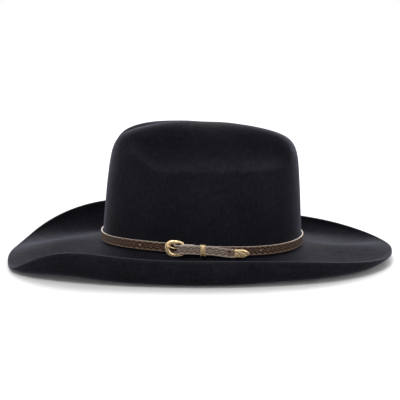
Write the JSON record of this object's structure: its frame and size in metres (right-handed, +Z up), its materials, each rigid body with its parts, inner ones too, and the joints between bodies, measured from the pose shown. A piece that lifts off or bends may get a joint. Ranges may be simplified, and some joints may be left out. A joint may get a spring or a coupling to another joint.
{
  "type": "cowboy hat",
  "caption": "Western felt hat with a creased crown, a brim rolled up at the sides and a tooled leather band with a small buckle, keeper and metal tip.",
  "frame": {"origin": "centre of the head opening, level with the reed of the sweatband", "axes": "+Z up through the crown, -X towards the front of the hat, -Y towards the wearer's left, where the buckle is"},
  "size_m": [0.3981, 0.296, 0.1459],
  "materials": {
    "felt": "brushed rabbit-fur felt, near-black blue",
    "strap_leather": "tooled brown leather with a pale cut edge",
    "gold": "engraved, gold plated, polished",
    "thread": "waxed thread",
    "sweatband_leather": "smooth dark brown leather",
    "reed": "plain extruded plastic",
    "ribbon": "grosgrain ribbon",
    "satin": "grey satin",
    "clear_sheet": "thin clear sheet"
  },
  "bodies": {
    "hat": {"felt_body": "felt", "hatband_strap": "strap_leather", "strap_tip": "gold", "band_tack_front_left": "thread", "band_tack_back_left": "thread", "band_tack_back_right": "thread", "band_tack_front_right": "thread", "sweatband": "sweatband_leather", "sweatband_reed": "reed", "reed_tape": "ribbon", "sweatband_bow": "ribbon", "lining_side_band": "satin", "lining_tip": "satin", "lining_piping": "satin", "tip_protector": "clear_sheet"},
    "frame": {"buckle_frame": "gold"},
    "prong": {"buckle_prong": "gold"},
    "keeper": {"strap_keeper": "gold"}
  },
  "joints": [
    {"name": "buckle_hinge", "type": "hinge", "parent": "hat", "child": "frame", "pos_m": [-0.01908, -0.08743, 0.01079], "axis": [0, 0, 1], "range_deg": [0, 3]},
    {"name": "prong_hinge", "type": "hinge", "parent": "frame", "child": "prong", "pos_m": [-0.01908, -0.08743, 0.01079], "axis": [0, 0, 1], "range_deg": [0, 2.5]},
    {"name": "keeper_slide", "type": "hinge", "parent": "hat", "child": "keeper", "pos_m": [0, 0.0615, 0.0098], "axis": [0.0573, 0, 0.9984], "range_deg": [-1.7, 3.5]}
  ]
}
